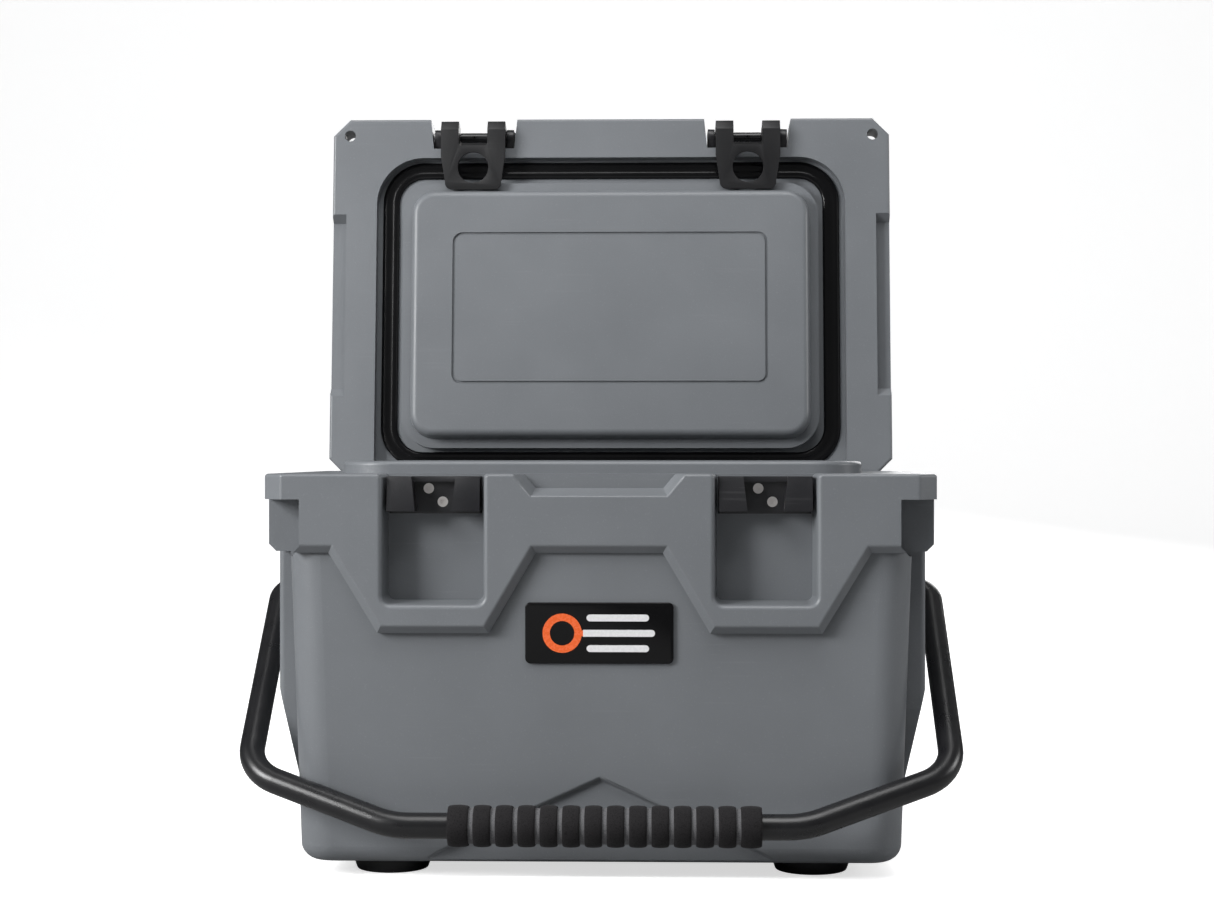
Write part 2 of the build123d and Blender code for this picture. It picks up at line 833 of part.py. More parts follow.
# Foam in the lid
with BuildPart() as lid_foam_closed:
    with BuildSketch(Plane.XY.offset(channel_z + wall)):
        with Locations((0, lid_mid_y)):
            Rectangle(width - 2 * wall - 4, lid_depth - 2 * wall - 4)
        chamfer(vertices(), length=lid_chamfer)
    extrude(amount=lid_top_z - wall - channel_z - wall)
    with BuildSketch(Plane.XY.offset(lid_bottom_z - plug_depth + wall)):
        ring_outline(
            plug_half_x - plug_ledge - 2 * wall,
            plug_front_y + plug_ledge + 2 * wall,
            plug_back_y - plug_ledge - 2 * wall,
            plug_corner_r - 2 * wall,
        )
    extrude(amount=channel_z + 2 * wall - lid_bottom_z + plug_depth - wall)
    lid_notches(wall)
    side_scoops(wall)
    for side in (-1, 1):
        with Locations((side * (width / 2 - padlock_inset), front_y + padlock_inset, lid_top_z)):
            Hole(radius=padlock_pocket_r + wall, depth=lid_height)
    with BuildSketch(side_plane(0)):
        with Locations((hinge_y, hinge_z)):
            Circle(knuckle_r + knuckle_relief + wall)
    extrude(amount=rod_half, both=True, mode=Mode.SUBTRACT)
    cap_reliefs(wall)

# Lid shell, built closed: double wall with a seal channel and a plug that fills the mouth
with BuildPart() as lid_closed:
    with BuildSketch(Plane.XY.offset(lid_bottom_z)):
        with Locations((0, lid_mid_y)):
            Rectangle(width, lid_depth)
        chamfer(vertices(), length=lid_chamfer)
    extrude(amount=lid_height)
    fillet(lid_closed.edges().group_by(Axis.Z)[-1], radius=lid_top_r)
    fillet(lid_closed.edges().group_by(Axis.Z)[0], radius=rim_edge_r)
    with BuildSketch(Plane.XY.offset(lid_bottom_z - 1)):
        ring_outline(channel_half_x, channel_front_y, lid_back_y + 2 * channel_corner_r, channel_corner_r)
    extrude(amount=channel_z - lid_bottom_z + 1, mode=Mode.SUBTRACT)
    with BuildSketch(Plane.XY.offset(channel_z)):
        ring_outline(plug_half_x, plug_front_y, plug_back_y, plug_corner_r)
    extrude(amount=-(channel_z - lid_bottom_z))
    with BuildSketch(Plane.XY.offset(lid_bottom_z)):
        ring_outline(
            plug_half_x - plug_ledge,
            plug_front_y + plug_ledge,
            plug_back_y - plug_ledge,
            plug_corner_r - plug_ledge,
        )
    extrude(amount=-plug_depth, taper=8)
    fillet(lid_closed.edges().group_by(Axis.Z)[0], radius=6)
    with BuildSketch(Plane.XY.offset(lid_bottom_z - plug_depth)):
        ring_outline(plug_line_half_x, plug_line_front_y, plug_line_back_y, plug_line_r)
        with Locations((0, (plug_line_front_y + plug_line_back_y) / 2)):
            RectangleRounded(
                2 * (plug_line_half_x - plug_line_width),
                plug_line_back_y - plug_line_front_y - 2 * plug_line_width,
                plug_line_r - plug_line_width,
                mode=Mode.SUBTRACT,
            )
    extrude(amount=plug_line_depth, mode=Mode.SUBTRACT)
    lid_notches(0)
    for side in (-1, 1):
        for offset_x in (-bracket_screw_x, bracket_screw_x):
            with BuildSketch(bracket_face(side * latch_x + offset_x)):
                Circle(screw_shank_r)
            extrude(amount=-bracket_bar_depth - wall + 0.5, mode=Mode.SUBTRACT)
    side_scoops(0)
    for side in (-1, 1):
        with Locations((side * (width / 2 - padlock_inset), front_y + padlock_inset, lid_top_z)):
            Hole(radius=padlock_r, depth=lid_height + 1)
            Hole(radius=padlock_pocket_r, depth=lid_height - padlock_tab)
    for x in body_knuckles:
        with BuildSketch(side_plane(x)):
            with Locations((hinge_y, hinge_z)):
                Circle(knuckle_r + knuckle_relief)
        extrude(amount=knuckle_pitch / 2, both=True, mode=Mode.SUBTRACT)
    for x in lid_knuckles:
        with BuildSketch(side_plane(x)):
            with Locations((hinge_y, hinge_z)):
                Circle(knuckle_r)
            with BuildLine():
                Polyline(
                    (hinge_y - 5, hinge_z),
                    (hinge_y - 5, channel_z + 1),
                    (lid_back_y, channel_z + 1),
                    (hinge_y + knuckle_r, hinge_z + 6),
                    (hinge_y + knuckle_r, hinge_z),
                    close=True,
                )
            make_face()
        extrude(amount=knuckle_length / 2, both=True)
    with BuildSketch(side_plane(0)):
        with Locations((hinge_y, hinge_z)):
            Circle(rod_r + rod_fit)
    extrude(amount=rod_half, both=True, mode=Mode.SUBTRACT)
    cap_reliefs(0)
    add(lid_foam_closed.part, mode=Mode.SUBTRACT)
    with BuildSketch(lid_port_plane):
        Circle(lid_port_r)
    extrude(amount=-2 * wall, mode=Mode.SUBTRACT)

with BuildPart() as lid_plug_closed:
    with BuildSketch(lid_port_plane):
        Circle(lid_port_r)
    extrude(amount=-(wall + 2))
    with BuildSketch(lid_port_plane):
        Circle(lid_port_r + 2)
    extrude(amount=1.2)

# Soft seal in the lid's channel
with BuildPart() as gasket_closed:
    with BuildSketch(Plane.XY.offset(channel_z)):
        ring_outline(
            channel_half_x - gasket_margin,
            channel_front_y + gasket_margin / 2,
            gasket_back_y,
            channel_corner_r - gasket_margin,
        )
        with Locations((0, (plug_front_y + plug_back_y) / 2)):
            RectangleRounded(
                2 * (plug_half_x + 1),
                plug_back_y - plug_front_y + 2,
                plug_corner_r + 1,
                mode=Mode.SUBTRACT,
            )
    extrude(amount=-gasket_height)


def latch_bracket(side):
    """Bracket in a lid notch: a stepped bar with a lug at each end for the latch pin."""
    middle = side * latch_x
    back = front_y + notch_depth
    with Locations((middle, back, bracket_z)):
        Box(
            2 * bracket_half,
            bracket_bar_depth,
            bracket_top_z - bracket_z,
            align=(Align.CENTER, Align.MAX, Align.MIN),
        )
    for block in (-1, 1):
        with Locations((middle + block * bracket_half, back, bracket_z)):
            Box(
                bracket_block,
                bracket_bar_depth + 8,
                bracket_top_z - bracket_z,
                align=(Align.MAX if block > 0 else Align.MIN, Align.MAX, Align.MIN),
            )
        with BuildSketch(side_plane(middle + block * bracket_half)) as outline:
            with Locations((pin_y, pin_z)):
                Circle(boss_r - 1.5)
            with BuildLine():
                Polyline(
                    (back, bracket_z + 1),
                    (back, pin_z - 3),
                    (pin_y, pin_z - boss_r + 1.5),
                    (pin_y - boss_r + 1.5, pin_z),
                    (pin_y - boss_r + 1.5, bracket_z + 1),
                    close=True,
                )
            make_face()
        extrude(outline.sketch, amount=-block * lug_thickness)
    with BuildSketch(side_plane(middle)) as outline:
        with Locations((pin_y, pin_z)):
            Circle(pin_r + pin_fit)
    extrude(outline.sketch, amount=bracket_half + 1, both=True, mode=Mode.SUBTRACT)
    for offset_x in (-bracket_screw_x, bracket_screw_x):
        with Locations(bracket_face(middle + offset_x)):
            CounterSinkHole(radius=screw_shank_r, counter_sink_radius=screw_head_r)


brackets = {}
pins = {}
paddles = {}
for name, side in (("left", -1), ("right", 1)):
    middle = side * latch_x
    with BuildPart() as bracket_closed:
        latch_bracket(side)
    with BuildPart() as latch_bracket_part:
        add(bracket_closed.part.rotate(hinge_axis, -lid_open_angle))
    latch_bracket_part.part.label = "latch_bracket_" + name
    brackets[latch_bracket_part.part.label] = latch_bracket_part

    with BuildPart() as pin:
        with BuildSketch(side_plane(middle - bracket_half + 0.5)):
            with Locations(open_pin):
                Circle(pin_r)
        extrude(amount=2 * bracket_half - 1)
        with BuildSketch(side_plane(middle - paddle_gap_half + 0.5)):
            with Locations(open_pin):
                Circle(barrel_r)
        extrude(amount=2 * paddle_gap_half - 1)
        with BuildSketch(Plane(origin=(middle, open_pin[0] - barrel_r - 1, open_pin[1]), z_dir=(0, -1, 0))):
            Circle(1.2)
        extrude(amount=-barrel_r, mode=Mode.SUBTRACT)
    pin.part.label = "latch_pin_" + name
    pins[pin.part.label] = pin

    with BuildPart() as paddle:
        # Side outline, with a lip that catches under the keeper
        with BuildSketch(Plane(origin=(middle, *open_pin), x_dir=(0, 1, 0), z_dir=(1, 0, 0))):
            Circle(boss_r)
            with BuildLine():
                Polyline(
                    (0, boss_r - 0.5),
                    (-paddle_inner, paddle_top),
                    (-paddle_outer, paddle_top - 8),
                    (-paddle_outer, -paddle_bottom),
                    (-paddle_relief, -paddle_bottom),
                    (-paddle_relief, -paddle_lip_bottom - 1.8),
                    (-paddle_inner, -paddle_lip_bottom),
                    (-paddle_inner, -paddle_lip_top),
                    (-paddle_relief, -paddle_lip_top),
                    (-paddle_relief, -paddle_top),
                    (-paddle_inner, -boss_r),
                    (0, -boss_r + 1),
                    close=True,
                )
            make_face()
        extrude(amount=paddle_half, both=True)
        # Front outline: two arms above, tapering to the tip below, with a finger hole
        with BuildSketch(Plane(origin=(middle, *open_pin), x_dir=(1, 0, 0), z_dir=(0, -1, 0))) as outline:
            with BuildLine():
                Polyline(
                    (-paddle_half, paddle_top + 1),
                    (-paddle_half, -18.8),
                    (-paddle_tip_half, -42),
                    (-paddle_tip_half, -paddle_bottom),
                    (paddle_tip_half, -paddle_bottom),
                    (paddle_tip_half, -42),
                    (paddle_half, -18.8),
                    (paddle_half, paddle_top + 1),
                    close=True,
                )
            make_face()
            fillet(outline.vertices().group_by(Axis.Y)[0], radius=6)
            with Locations((0, paddle_top - 10.6 + 1)):
                RectangleRounded(2 * paddle_gap_half, 21.2 + 4, 2, mode=Mode.SUBTRACT)
            with Locations((0, -hole_drop)):
                Circle(hole_r, mode=Mode.SUBTRACT)
        extrude(amount=30, both=True, mode=Mode.INTERSECT)
        with BuildSketch(Plane(origin=(middle, *open_pin), x_dir=(0, 1, 0), z_dir=(1, 0, 0))):
            Circle(pin_r + pin_fit)
        extrude(amount=paddle_half + 1, both=True, mode=Mode.SUBTRACT)
    paddle.part.label = "latch_paddle_" + name
    paddles[paddle.part.label] = paddle

# Lid pieces turned to where they stand open
with BuildPart() as lid_shell:
    add(lid_closed.part.rotate(hinge_axis, -lid_open_angle))
lid_shell.part.label = "lid_shell"
with BuildPart() as lid_foam:
    add(lid_foam_closed.part.rotate(hinge_axis, -lid_open_angle))
lid_foam.part.label = "lid_foam"
with BuildPart() as lid_plug:
    add(lid_plug_closed.part.rotate(hinge_axis, -lid_open_angle))
lid_plug.part.label = "lid_plug"
with BuildPart() as lid_gasket:
    add(gasket_closed.part.rotate(hinge_axis, -lid_open_angle))
lid_gasket.part.label = "lid_gasket"

# Screws that hold the latch brackets to the lid
with BuildPart() as bracket_screws_closed:
    for x in (-latch_x, latch_x):
        for offset_x in (-bracket_screw_x, bracket_screw_x):
            face = bracket_face(x + offset_x)
            with BuildSketch(face):
                Circle(screw_shank_r)
            extrude(amount=-bracket_bar_depth - wall + 0.5)
            with BuildSketch(face):
                Circle(screw_head_r)
            with BuildSketch(face.offset(-screw_head_depth)):
                Circle(screw_shank_r)
            loft()
            with BuildSketch(face):
                RegularPolygon(radius=screw_socket_r, side_count=6)
            extrude(amount=-screw_socket_r, mode=Mode.SUBTRACT)
with BuildPart() as bracket_screws:
    add(bracket_screws_closed.part.rotate(hinge_axis, -lid_open_angle))
bracket_screws.part.label = "bracket_screws"

os.makedirs("parts", exist_ok=True)
single = [
    body_shell,
    body_foam,
    body_plugs,
    foot_screws,
    keeper_screws,
    bracket_screws,
    badge_plate,
    badge_emblem,
    handle_bushings,
    handle_tube,
    grip_core,
    grip_rings,
    hinge_rod,
    hinge_caps,
    lid_shell,
    lid_foam,
    lid_plug,
    lid_gasket,
]
sets = [feet, keepers, brackets, pins, paddles]
for piece in single + [member for group in sets for member in group.values()]:
    export_step(piece.part, "parts/" + piece.part.label + ".step")
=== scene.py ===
import json
import math

import bmesh
import bpy
import numpy as np
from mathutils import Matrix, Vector


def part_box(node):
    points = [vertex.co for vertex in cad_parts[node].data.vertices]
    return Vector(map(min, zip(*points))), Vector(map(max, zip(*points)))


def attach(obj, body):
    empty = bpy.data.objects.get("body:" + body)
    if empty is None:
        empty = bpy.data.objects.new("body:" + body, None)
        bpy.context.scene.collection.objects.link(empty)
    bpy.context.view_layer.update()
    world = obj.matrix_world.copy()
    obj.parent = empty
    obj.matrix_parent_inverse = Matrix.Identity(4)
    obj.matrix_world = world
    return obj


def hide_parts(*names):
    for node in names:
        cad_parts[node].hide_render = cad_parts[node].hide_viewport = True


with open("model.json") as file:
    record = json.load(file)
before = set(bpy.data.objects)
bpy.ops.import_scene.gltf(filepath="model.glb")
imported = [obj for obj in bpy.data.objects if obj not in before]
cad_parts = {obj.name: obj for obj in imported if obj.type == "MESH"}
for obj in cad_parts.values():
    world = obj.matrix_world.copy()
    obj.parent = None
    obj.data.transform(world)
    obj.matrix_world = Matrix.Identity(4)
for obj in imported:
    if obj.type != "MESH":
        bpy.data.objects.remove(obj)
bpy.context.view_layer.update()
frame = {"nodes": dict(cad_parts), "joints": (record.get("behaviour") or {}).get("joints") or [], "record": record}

nodes = frame["nodes"]
print("frame loaded:", len(nodes), "CAD nodes")

# Camera
cameraLook = {
    "place": (0.0473, -1.7525, 0.3155),
    "toward": (-0.026, 0.9997, 0.0),
    "lens": 64.04,
}


def addCamera(values):
    data = bpy.data.cameras.new("viewCamera")
    data.lens = values["lens"]
    data.sensor_width = 36
    data.clip_end = 50
    camera = bpy.data.objects.new("viewCamera", data)
    camera.location = values["place"]
    camera.rotation_euler = Vector(values["toward"]).to_track_quat("-Z", "Y").to_euler()
    bpy.context.collection.objects.link(camera)
    bpy.context.scene.camera = camera


addCamera(cameraLook)
print("camera placed")


# Meshes from whole arrays of points
def gridFaces(rows, columns, wrapRows, wrapColumns):
    # each point joins the next one along its row and the next row, and wraps round where it is closed
    i = np.arange(rows if wrapRows else rows - 1)[:, None]
    j = np.arange(columns if wrapColumns else columns - 1)[None, :]
    nextI = (i + 1) % rows
    nextJ = (j + 1) % columns
    quads = [i * columns + j, nextI * columns + j, nextI * columns + nextJ, i * columns + nextJ]
    return np.stack(quads, axis=-1).reshape(-1, 4)


def meshPiece(name, points, faces, smooth=True):
    mesh = bpy.data.meshes.new(name)
    mesh.from_pydata(np.asarray(points).reshape(-1, 3).tolist(), [], faces.tolist())
    mesh.validate()
    work = bmesh.new()
    work.from_mesh(mesh)
    bmesh.ops.recalc_face_normals(work, faces=work.faces)
    work.to_mesh(mesh)
    work.free()
    mesh.polygons.foreach_set("use_smooth", np.full(len(mesh.polygons), smooth))
    piece = bpy.data.objects.new(name, mesh)
    bpy.context.collection.objects.link(piece)
    return piece


def softCopy(node, name, values):
    # a merged copy of a CAD piece, with flat faces joined up and its edges rounded
    mesh = nodes[node].data.copy()
    mesh.name = name
    work = bmesh.new()
    work.from_mesh(mesh)
    bmesh.ops.remove_doubles(work, verts=work.verts, dist=0.00002)
    bmesh.ops.dissolve_limit(work, angle_limit=math.radians(1.0), verts=work.verts, edges=work.edges)
    work.to_mesh(mesh)
    work.free()
    mesh.materials.clear()
    piece = bpy.data.objects.new(name, mesh)
    bpy.context.collection.objects.link(piece)
    mesh.polygons.foreach_set("use_smooth", np.full(len(mesh.polygons), True))
    bevel = piece.modifiers.new("roundedEdges", "BEVEL")
    bevel.width = values["edge"]
    bevel.segments = values["steps"]
    bevel.limit_method = "ANGLE"
    bevel.angle_limit = math.radians(values["angle"])
    bevel.harden_normals = True
    return piece


# Shared effects
def newGroup(name, inputs, outputs):
    group = bpy.data.node_groups.new(name, "ShaderNodeTree")
    for label, kind, value in inputs:
        item = group.interface.new_socket(label, in_out="INPUT", socket_type=kind)
        if value is not None:
            item.default_value = value
    for label, kind in outputs:
        group.interface.new_socket(label, in_out="OUTPUT", socket_type=kind)
    return group, group.nodes.new("NodeGroupInput"), group.nodes.new("NodeGroupOutput")


def mathNode(tree, operation, first, second=None):
    node = tree.nodes.new("ShaderNodeMath")
    node.operation = operation
    for socket, value in zip(node.inputs, (first, second)):
        if value is None:
            continue
        if isinstance(value, (int, float)):
            socket.default_value = value
        else:
            tree.links.new(value, socket)
    return node.outputs[0]


def noiseNode(tree, vector, scale, detail=2.0, roughness=0.5):
    node = tree.nodes.new("ShaderNodeTexNoise")
    tree.links.new(vector, node.inputs["Vector"])
    if isinstance(scale, (int, float)):
        node.inputs["Scale"].default_value = scale
    else:
        tree.links.new(scale, node.inputs["Scale"])
    node.inputs["Detail"].default_value = detail
    node.inputs["Roughness"].default_value = roughness
    return node.outputs["Fac"]


def spreadNode(tree, value, low, high, newLow=0.0, newHigh=1.0):
    node = tree.nodes.new("ShaderNodeMapRange")
    tree.links.new(value, node.inputs["Value"])
    ends = {"From Min": low, "From Max": high, "To Min": newLow, "To Max": newHigh}
    for socket, number in ends.items():
        node.inputs[socket].default_value = number
    return node.outputs["Result"]


grainShape = {
    "waveShare": 0.35,
    "pebbleHeight": 0.5,
    "cloudScale": 9.0,
    "cloudEdges": (0.3, 0.7),
    "fleckShare": 0.8,
    "fleckEdges": (0.66, 0.74),
}


def mouldGrainGroup(values):
    # fine pebbled skin of moulded plastic, with slow cloudiness and small pale flecks
    group, start, end = newGroup(
        "mouldGrain",
        [("Vector", "NodeSocketVector", None), ("Fineness", "NodeSocketFloat", 900.0)],
        [("Height", "NodeSocketFloat"), ("Cloud", "NodeSocketFloat"), ("Flecks", "NodeSocketFloat")],
    )
    vector = start.outputs["Vector"]
    pebbles = group.nodes.new("ShaderNodeTexVoronoi")
    group.links.new(vector, pebbles.inputs["Vector"])
    group.links.new(start.outputs["Fineness"], pebbles.inputs["Scale"])
    waveScale = mathNode(group, "MULTIPLY", start.outputs["Fineness"], values["waveShare"])
    waves = noiseNode(group, vector, waveScale, 3.0, 0.6)
    bumps = mathNode(group, "MULTIPLY", pebbles.outputs["Distance"], values["pebbleHeight"])
    height = mathNode(group, "ADD", bumps, waves)
    group.links.new(height, end.inputs["Height"])
    cloud = noiseNode(group, vector, values["cloudScale"], 4.0, 0.6)
    group.links.new(spreadNode(group, cloud, *values["cloudEdges"]), end.inputs["Cloud"])
    fleckScale = mathNode(group, "MULTIPLY", start.outputs["Fineness"], values["fleckShare"])
    flecks = noiseNode(group, vector, fleckScale, 1.0)
    group.links.new(spreadNode(group, flecks, *values["fleckEdges"]), end.inputs["Flecks"])
    return group


rubShape = {
    "stretch": (14.0, 160.0, 420.0),
    "turn": (0.15, 0.3, 0.5),
    "lineEdges": (0.66, 0.7),
    "patchScale": 14.0,
    "patchEdges": (0.5, 0.7),
}


def scuffGroup(values):
    # short fine scratches that run one way, broken up by patches where hands and floors rub
    group, start, end = newGroup(
        "rubMarks",
        [("Vector", "NodeSocketVector", None), ("Amount", "NodeSocketFloat", 0.5)],
        [("Mask", "NodeSocketFloat")],
    )
    stretch = group.nodes.new("ShaderNodeMapping")
    stretch.inputs["Scale"].default_value = values["stretch"]
    stretch.inputs["Rotation"].default_value = values["turn"]
    group.links.new(start.outputs["Vector"], stretch.inputs["Vector"])
    fineNoise = noiseNode(group, stretch.outputs["Vector"], 1.0, 1.0)
    lines = spreadNode(group, fineNoise, *values["lineEdges"])
    slowNoise = noiseNode(group, start.outputs["Vector"], values["patchScale"], 2.0)
    patches = spreadNode(group, slowNoise, *values["patchEdges"])
    broken = mathNode(group, "MULTIPLY", lines, patches)
    mask = mathNode(group, "MULTIPLY", broken, start.outputs["Amount"])
    group.links.new(mask, end.inputs["Mask"])
    return group


cellShape = {
    "fineShare": 1.7,
    "cellHeight": 0.7,
    "fineHeight": 0.4,
    "rimEdges": (0.35, 0.75),
}


def poreGroup(values):
    # closed-cell foam: rounded cells of two sizes with darker rims
    group, start, end = newGroup(
        "foamCells",
        [("Vector", "NodeSocketVector", None), ("Cells", "NodeSocketFloat", 1100.0)],
        [("Height", "NodeSocketFloat"), ("Rims", "NodeSocketFloat")],
    )
    cells = group.nodes.new("ShaderNodeTexVoronoi")
    cells.feature = "SMOOTH_F1"
    group.links.new(start.outputs["Vector"], cells.inputs["Vector"])
    group.links.new(start.outputs["Cells"], cells.inputs["Scale"])
    fineScale = mathNode(group, "MULTIPLY", start.outputs["Cells"], values["fineShare"])
    fine = noiseNode(group, start.outputs["Vector"], fineScale, 2.0)
    large = mathNode(group, "MULTIPLY", cells.outputs["Distance"], values["cellHeight"])
    small = mathNode(group, "MULTIPLY", fine, values["fineHeight"])
    group.links.new(mathNode(group, "ADD", large, small), end.inputs["Height"])
    rims = spreadNode(group, cells.outputs["Distance"], *values["rimEdges"])
    group.links.new(rims, end.inputs["Rims"])
    return group


mouldGrain = mouldGrainGroup(grainShape)
rubMarks = scuffGroup(rubShape)
foamCells = poreGroup(cellShape)
print("shared effects done")


# Materials
def startMaterial(name):
    material = bpy.data.materials.new(name)
    material.use_nodes = True
    tree = material.node_tree
    shader = tree.nodes["Principled BSDF"]
    place = tree.nodes.new("ShaderNodeTexCoord").outputs["Object"]
    return material, tree, shader, place


def placeGroup(tree, group, vector, **values):
    node = tree.nodes.new("ShaderNodeGroup")
    node.node_tree = group
    tree.links.new(vector, node.inputs["Vector"])
    for label, value in values.items():
        node.inputs[label].default_value = value
    return node


def mixColours(tree, factor, first, second):
    node = tree.nodes.new("ShaderNodeMix")
    node.data_type = "RGBA"
    tree.links.new(factor, node.inputs["Factor"])
    for socket, value in (("A", first), ("B", second)):
        slot = [s for s in node.inputs if s.name == socket and s.type == "RGBA"][0]
        if isinstance(value, tuple):
            slot.default_value = (*value, 1.0)
        else:
            tree.links.new(value, slot)
    return [s for s in node.outputs if s.type == "RGBA"][0]


def bumpInto(tree, shader, height, strength, distance):
    bump = tree.nodes.new("ShaderNodeBump")
    bump.inputs["Strength"].default_value = strength
    bump.inputs["Distance"].default_value = distance
    tree.links.new(height, bump.inputs["Height"])
    tree.links.new(bump.outputs["Normal"], shader.inputs["Normal"])


def roughen(tree, shader, rough, marks, extra):
    # rubbed places are a little rougher than the rest
    added = mathNode(tree, "MULTIPLY", marks.outputs["Mask"], extra)
    tree.links.new(mathNode(tree, "ADD", rough, added), shader.inputs["Roughness"])


def mouldedMaterial(name, values):
    material, tree, shader, place = startMaterial(name)
    grain = placeGroup(tree, mouldGrain, place, Fineness=values["fineness"])
    marks = placeGroup(tree, rubMarks, place, Amount=values["marks"])
    toned = mixColours(tree, grain.outputs["Cloud"], values["dark"], values["light"])
    fleckMask = mathNode(tree, "MULTIPLY", grain.outputs["Flecks"], values["flecks"])
    flecked = mixColours(tree, fleckMask, toned, values["fleck"])
    marked = mixColours(tree, marks.outputs["Mask"], flecked, values["mark"])
    tree.links.new(marked, shader.inputs["Base Color"])
    rough = spreadNode(tree, grain.outputs["Cloud"], 0.0, 1.0, *values["roughness"])
    roughen(tree, shader, rough, marks, 0.12)
    bumpInto(tree, shader, grain.outputs["Height"], values["bump"], values["depth"])
    shader.inputs["Specular IOR Level"].default_value = values["shine"]
    return material


def metalMaterial(name, values):
    material, tree, shader, place = startMaterial(name)
    marks = placeGroup(tree, rubMarks, place, Amount=values["marks"])
    cloud = noiseNode(tree, place, 60.0, 3.0)
    colour = mixColours(tree, cloud, values["dark"], values["light"])
    tree.links.new(colour, shader.inputs["Base Color"])
    rough = spreadNode(tree, cloud, 0.3, 0.7, *values["roughness"])
    roughen(tree, shader, rough, marks, 0.2)
    shader.inputs["Metallic"].default_value = values["metallic"]
    grain = noiseNode(tree, place, values["fineness"], 2.0)
    bumpInto(tree, shader, grain, values["bump"], values["depth"])
    return material


def foamMaterial(name, values):
    material, tree, shader, place = startMaterial(name)
    cells = placeGroup(tree, foamCells, place, Cells=values["cells"])
    colour = mixColours(tree, cells.outputs["Rims"], values["light"], values["dark"])
    tree.links.new(colour, shader.inputs["Base Color"])
    rough = spreadNode(tree, cells.outputs["Height"], 0.0, 1.0, *values["roughness"])
    tree.links.new(rough, shader.inputs["Roughness"])
    shader.inputs["Sheen Weight"].default_value = values["sheen"]
    shader.inputs["Specular IOR Level"].default_value = 0.25
    bumpInto(tree, shader, cells.outputs["Height"], values["bump"], 0.0002)
    return material


shellLook = {
    "dark": (0.143, 0.152, 0.163),
    "light": (0.158, 0.168, 0.180),
    "fleck": (0.20, 0.21, 0.222),
    "flecks": 0.35,
    "mark": (0.21, 0.22, 0.23),
    "marks": 0.2,
    "fineness": 850.0,
    "roughness": (0.34, 0.44),
    "bump": 0.2,
    "depth": 0.0004,
    "shine": 0.42,
}
blackLook = {
    "dark": (0.007, 0.007, 0.009),
    "light": (0.012, 0.012, 0.014),
    "fleck": (0.022, 0.022, 0.024),
    "flecks": 0.3,
    "mark": (0.06, 0.06, 0.062),
    "marks": 0.35,
    "fineness": 1500.0,
    "roughness": (0.36, 0.48),
    "bump": 0.25,
    "depth": 0.00025,
    "shine": 0.5,
}
rubberLook = {
    "dark": (0.007, 0.007, 0.008),
    "light": (0.012, 0.012, 0.013),
    "fleck": (0.024, 0.024, 0.025),
    "flecks": 0.2,
    "mark": (0.05, 0.05, 0.05),
    "marks": 0.25,
    "fineness": 2000.0,
    "roughness": (0.36, 0.48),
    "bump": 0.2,
    "depth": 0.0002,
    "shine": 0.4,
}
sealLook = {
    "dark": (0.0018, 0.0018, 0.0022),
    "light": (0.0035, 0.0035, 0.004),
    "fleck": (0.006, 0.006, 0.006),
    "flecks": 0.2,
    "mark": (0.01, 0.01, 0.01),
    "marks": 0.2,
    "fineness": 1800.0,
    "roughness": (0.16, 0.26),
    "bump": 0.06,
    "depth": 0.0002,
    "shine": 0.35,
}
badgeLook = {
    "dark": (0.0012, 0.0012, 0.0016),
    "light": (0.0022, 0.0022, 0.0026),
    "fleck": (0.02, 0.02, 0.022),
    "flecks": 0.15,
    "mark": (0.012, 0.012, 0.012),
    "marks": 0.25,
    "fineness": 1200.0,
    "roughness": (0.14, 0.22),
    "bump": 0.03,
    "depth": 0.0002,
    "shine": 0.3,
}
coatLook = {
    "dark": (0.005, 0.005, 0.006),
    "light": (0.009, 0.009, 0.010),
    "metallic": 0.0,
    "marks": 0.3,
    "fineness": 1900.0,
    "roughness": (0.26, 0.34),
    "bump": 0.22,
    "depth": 0.0002,
}
steelLook = {
    "dark": (0.72, 0.69, 0.67),
    "light": (0.86, 0.83, 0.81),
    "metallic": 1.0,
    "marks": 0.5,
    "fineness": 2400.0,
    "roughness": (0.34, 0.46),
    "bump": 0.1,
    "depth": 0.0001,
}
gripBlackLook = {
    "dark": (0.003, 0.0025, 0.003),
    "light": (0.010, 0.009, 0.010),
    "cells": 1300.0,
    "roughness": (0.75, 0.95),
    "sheen": 0.03,
    "bump": 0.45,
}
gripGreyLook = {
    "dark": (0.075, 0.075, 0.08),
    "light": (0.12, 0.12, 0.125),
    "cells": 1300.0,
    "roughness": (0.8, 0.95),
    "sheen": 0.1,
    "bump": 0.4,
}
wallFoamLook = {
    "dark": (0.50, 0.42, 0.22),
    "light": (0.72, 0.62, 0.36),
    "cells": 900.0,
    "roughness": (0.85, 0.95),
    "sheen": 0.0,
    "bump": 0.4,
}
emblemLook = {
    "ring": (0.80, 0.13, 0.03),
    "bars": (0.72, 0.72, 0.73),
    "split": -0.012,
    "roughness": (0.2, 0.34),
}


def emblemMaterial(name, values):
    # the ring is one colour and the bars beside it another
    material, tree, shader, place = startMaterial(name)
    parts = tree.nodes.new("ShaderNodeSeparateXYZ")
    tree.links.new(place, parts.inputs[0])
    side = mathNode(tree, "GREATER_THAN", parts.outputs["X"], values["split"])
    colour = mixColours(tree, side, values["ring"], values["bars"])
    tree.links.new(colour, shader.inputs["Base Color"])
    rough = spreadNode(tree, noiseNode(tree, place, 400.0), 0.3, 0.7, *values["roughness"])
    tree.links.new(rough, shader.inputs["Roughness"])
    bumpInto(tree, shader, noiseNode(tree, place, 1500.0), 0.05, 0.0002)
    return material


